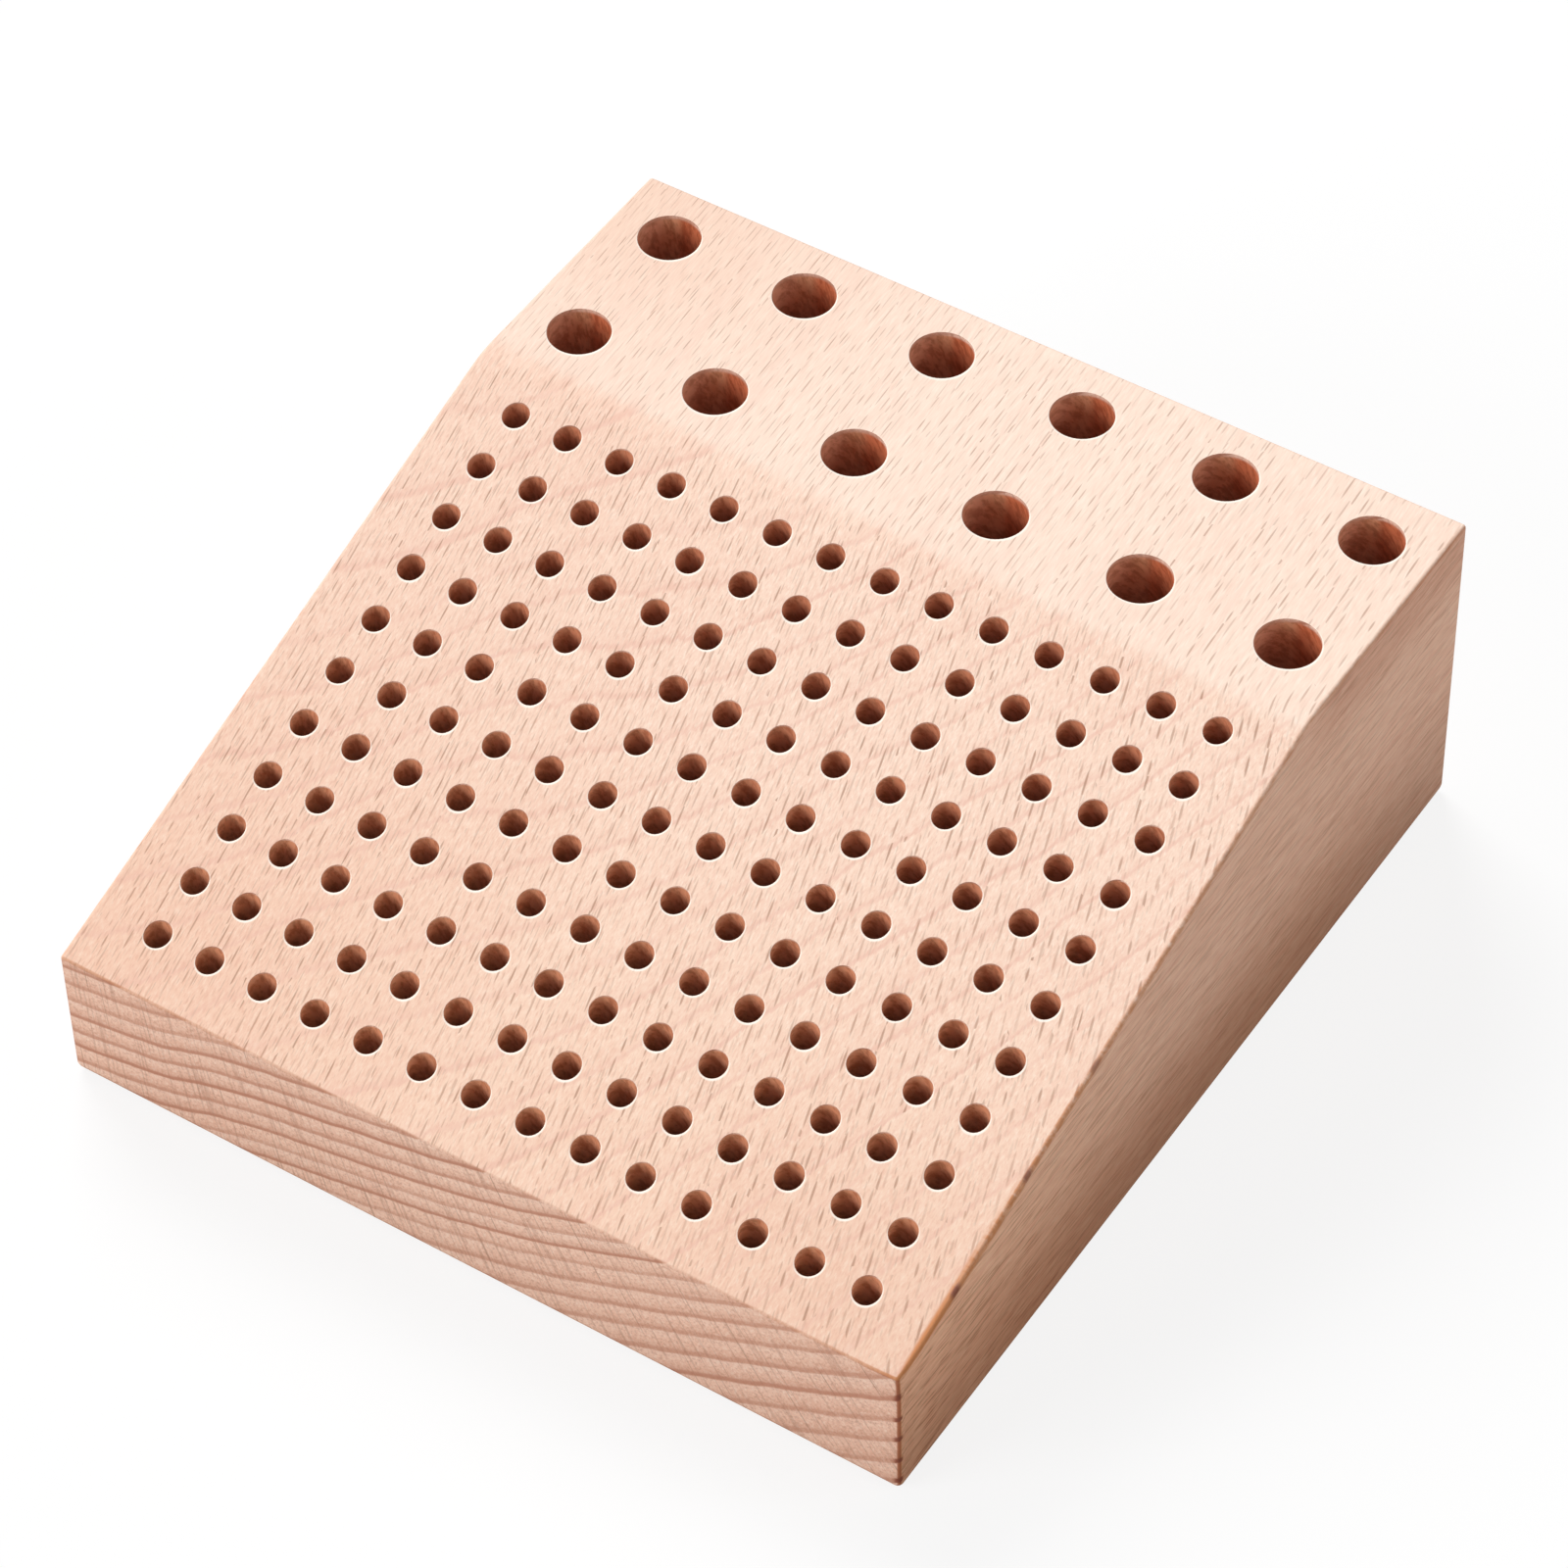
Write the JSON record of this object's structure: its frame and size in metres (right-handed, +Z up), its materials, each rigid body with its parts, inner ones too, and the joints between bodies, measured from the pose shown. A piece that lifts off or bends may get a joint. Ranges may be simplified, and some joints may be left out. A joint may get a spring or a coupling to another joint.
{
  "type": "tool storage caddy",
  "caption": "Sloped solid-wood block that stands on a bench and holds hobby tools upright in drilled sockets, small ones up its slope and large ones along its flat top.",
  "frame": {"origin": "middle of the flat base", "axes": "+X to the right, +Y from the low front to the high back, +Z up along the sockets"},
  "size_m": [0.2, 0.217, 0.08],
  "materials": {
    "beech": "bare, sanded smooth"
  },
  "bodies": {
    "root": {"caddy_block": "beech"}
  },
  "joints": []
}
